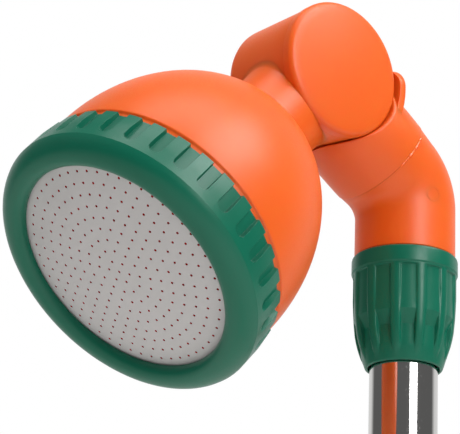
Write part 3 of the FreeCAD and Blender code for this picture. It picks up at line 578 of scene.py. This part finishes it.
def strap_point(column, row):
    """Bent plate behind the drum, narrowing round its corners."""
    radius, share = STRAP_LANES[column]
    arc_left = math.radians(STRAP_ROWS[-1] - STRAP_ROWS[row]) * (STRAP_INSIDE + STRAP_OUTSIDE) / 2
    half = STRAP_HALF
    if arc_left < STRAP_CORNER:
        half += math.sqrt(STRAP_CORNER ** 2 - (STRAP_CORNER - arc_left) ** 2) - STRAP_CORNER
    turn = math.radians(STRAP_ROWS[row])
    return Vector((-radius * math.sin(turn), half * share, -radius * math.cos(turn)))


def strap():
    """Round-cornered strap with rounded edges."""
    bm = sheet(len(STRAP_LANES), len(STRAP_ROWS), strap_point)
    bmesh.ops.remove_doubles(bm, verts=bm.verts, dist=WELD)
    bmesh.ops.holes_fill(bm, edges=[e for e in bm.edges if e.is_boundary], sides=0)
    return soften(bm, 0.6, angle=50, segments=3)


THIN_ROUND = 8          # faces round a thin bead
BEAD_ROWS = 60
MARK_ROWS = 48


def weld_bead_point(column, row):
    """Uneven bead of plastic squeezed out of part of the seam."""
    share = row / BEAD_ROWS
    uneven = 0.65 + 0.35 * math.sin(23 * share + math.sin(61 * share))
    thick = 0.05 + 0.42 * math.sin(math.pi * share) ** 0.5 * uneven
    swing = math.tau * column / THIN_ROUND
    height = -SEAM + 0.05 + thick * math.sin(swing)
    return polar(ELBOW_RADIUS + thick * math.cos(swing), 60 + 54 * share, height)


piece("saddle_elbow_with_strap", joined(upper_elbow(), strap()), ELBOW, ORANGE, "pivot_body")
detail("weld_bead_on_seam", sheet(THIN_ROUND + 1, BEAD_ROWS + 1, weld_bead_point), ELBOW, GLOSSY, "pivot_body")

PIPE_RADIUS = 14.15
PIPE_BORE = 12.4
PIPE_FOOT = 30.55       # lowest visible height, just above the collar's rim
BEND = 12.0             # bend radius of the pipe's middle, and the least one on its inside
INNER_BEND = 4.5
BLEND = 2.5             # how gently one passes into the other
CORNER = 51.0           # height where the pipe's two straight runs would meet
RUN_IN_ROW, RUN_ARC_ROW, RUN_OUT_ROW = 8, 22, 34


def elbow_point(column, row):
    """Pipe wall: each line along it runs straight, round its own arc, and straight again."""
    degrees = 360 * column / ROUND
    leg = math.hypot(PIVOT.x / MM, PIVOT.z / MM - HEAD_HEIGHT - CORNER) - SEAM
    if row < 2:
        return polar((PIPE_BORE, PIPE_RADIUS - 0.3)[row], degrees, PIPE_FOOT)
    step = row - 2
    grown = min(1.0, max(0.0, (step - RUN_IN_ROW) / (RUN_OUT_ROW - RUN_IN_ROW)))
    radius = PIPE_RADIUS + (ELBOW_RADIUS - PIPE_RADIUS) * grown
    u = radius * math.cos(math.radians(degrees))
    side = radius * math.sin(math.radians(degrees))
    bend = INNER_BEND + BLEND * math.log1p(math.exp((BEND - INNER_BEND - u) / BLEND))
    tangent = (bend + u) * math.tan(ELBOW_ANGLE / 2)
    if step <= RUN_IN_ROW:
        low = PIPE_FOOT + 0.3
        return Vector((u, side, low + (CORNER - tangent - low) * step / RUN_IN_ROW))
    if step <= RUN_ARC_ROW:
        swing = ELBOW_ANGLE * (step - RUN_IN_ROW) / (RUN_ARC_ROW - RUN_IN_ROW)
        return Vector((bend + u - bend * math.cos(swing), side, CORNER - tangent + bend * math.sin(swing)))
    along = Vector((math.sin(ELBOW_ANGLE), 0, math.cos(ELBOW_ANGLE)))
    outward = Vector((math.cos(ELBOW_ANGLE), 0, -math.sin(ELBOW_ANGLE)))
    reach = tangent + (leg - tangent) * min(1.0, (step - RUN_ARC_ROW) / (RUN_OUT_ROW - RUN_ARC_ROW))
    if step > RUN_OUT_ROW:
        u, side = PIPE_BORE * u / radius, PIPE_BORE * side / radius
    return Vector((0, side, CORNER)) + along * reach + outward * u


def pin_mark_point(column, row):
    """Raised ring left on the outside of the bend by a mould pin."""
    turn, swing = math.tau * row / MARK_ROWS, math.tau * column / THIN_ROUND
    reach = 2.0 + 0.13 * math.cos(swing)
    across, rise = reach * math.cos(turn), reach * math.sin(turn)
    # The bend's skin near the mark, as a plane and its curve across the pipe.
    skin = 14.04 - 0.155 * across + 0.063 * rise - across ** 2 / 28.4
    return Vector((2.32 + across, skin + 0.1 * math.sin(swing), 46.17 + rise))


pipe = sheet(ROUND + 1, RUN_OUT_ROW + 4, elbow_point)
mark = sheet(THIN_ROUND + 1, MARK_ROWS + 1, pin_mark_point)
piece("lower_elbow", joined(pipe, mark), HEAD, ORANGE, "elbow_body")

# ---------------------------------------------------------------- collars and tube
RIBS = 12
COLLAR_TURN = 22        # degrees from the wand's X axis to a pocket of the upper collar
# Across one pocket: degrees from its middle, and how far a rib's rounded flank is sunk; None is the floor.
COLUMNS = [(-15.0, 0.0), (-12.6, -0.03), (-10.6, -0.14), (-9.3, -0.34), (-8.4, None), (-4.2, None), (0.0, None),
           (4.2, None), (8.4, None), (9.3, -0.34), (10.6, -0.14), (12.6, -0.03), (15.0, 0.0)]
# Along the collar: radius of the ribs, height, and radius of the pocket's floor where there is one.
COLLAR_ROWS = [
    (9.95, -1.3, None), (10.15, -1.5, None), (10.5, -1.5, None), (10.8, -1.2, None), (11.3, 0.2, None),
    (11.75, 1.2, 11.55), (12.15, 2.0, 11.8), (12.5, 3.0, 11.95), (13.05, 4.7, 12.05), (13.5, 6.5, 12.15),
    (13.86, 8.3, 12.25), (14.0, 9.6, 12.8), (14.14, 11.0, 13.42), (14.27, 12.3, 14.0), (14.44, 15.0, 14.0),
    (14.6, 18.5, 14.0), (14.6, 22.0, 14.0), (14.6, 24.95, 14.0), (14.6, 25.2, None), (14.62, 25.5, None),
    (14.9, 26.0, None), (14.9, 29.5, None), (14.75, 30.1, None), (14.35, 30.5, None), (12.7, 30.5, None),
    (12.6, 30.3, None), (12.6, 10.8, None), (11.2, 8.3, None), (11.2, 5.5, None), (9.95, 1.6, None),
    (9.95, -1.3, None),
]


def collar_point(column, row):
    """One pocket and half a rib either side of it."""
    degrees, sink = COLUMNS[column]
    radius, height, floor = COLLAR_ROWS[row]
    if floor is not None:
        radius = floor if sink is None else max(floor, radius + sink)
    return polar(radius, degrees, height)


def collar():
    """Ribbed collar with softened edges."""
    return soften(sheet(len(COLUMNS), len(COLLAR_ROWS), collar_point, RIBS), 0.2, segments=3)


turned = HEAD @ Matrix.Rotation(math.radians(COLLAR_TURN), 4, "Z")
piece("ribbed_collar", collar(), turned, GREEN, "collar_nut", smooth=16)
piece("ribbed_handle_collar", collar(), HANDLE_COLLAR, GREEN, "handle_collar_nut", smooth=16)
tube = lathe([(9.5, 207.1, 0.2), (9.5, 522.9, 0.2), (8.7, 522.9), (8.7, 207.1)], 144)
piece("chromed_tube", tube, WAND, CHROME, "wand_tube")


# ---------------------------------------------------------------- floor and studio
def studio():
    """A pale floor, white behind, and a dim room in front that only the chrome and the gloss show."""
    bm = bmesh.new()
    bmesh.ops.create_circle(bm, cap_ends=True, segments=96, radius=3.0)
    mesh = bpy.data.meshes.new("floor")
    bm.to_mesh(mesh)
    bm.free()
    floor = bpy.data.objects.new("floor", mesh)
    SCENE.collection.objects.link(floor)
    # Background paper: nearly white, with a faint tooth.
    mesh.materials.append(moulded("pale_background_paper", "#F2F1EE", "#EFEEEB", 0.8, 2.0, 0.05))

    world = bpy.data.worlds.new("studio")
    SCENE.world = world
    world.use_nodes = True
    tree = world.node_tree
    tree.nodes.clear()
    seen = add(tree, "ShaderNodeBackground", {"Color": (1, 1, 1, 1)})
    # White on the far side of the wand, dim on the near side.
    way = add(tree, "ShaderNodeTexCoord").outputs["Generated"]
    towards = add(tree, "ShaderNodeVectorMath", {0: way, 1: Vector((0.71, 0.71, 0.0))}, operation="DOT_PRODUCT")
    room = add(tree, "ShaderNodeMapRange", {"Value": towards.outputs["Value"], "From Min": -0.66,
                                            "From Max": -0.4, "To Min": 1.0, "To Max": 0.16})
    lit = add(tree, "ShaderNodeBackground", {"Strength": room.outputs["Result"]})
    rays = add(tree, "ShaderNodeLightPath")
    mixed = add(tree, "ShaderNodeMixShader", {0: rays.outputs["Is Camera Ray"], 1: lit.outputs[0],
                                              2: seen.outputs[0]})
    add(tree, "ShaderNodeOutputWorld", {"Surface": mixed.outputs[0]})


studio()
SCENE.view_settings.view_transform = "Standard"
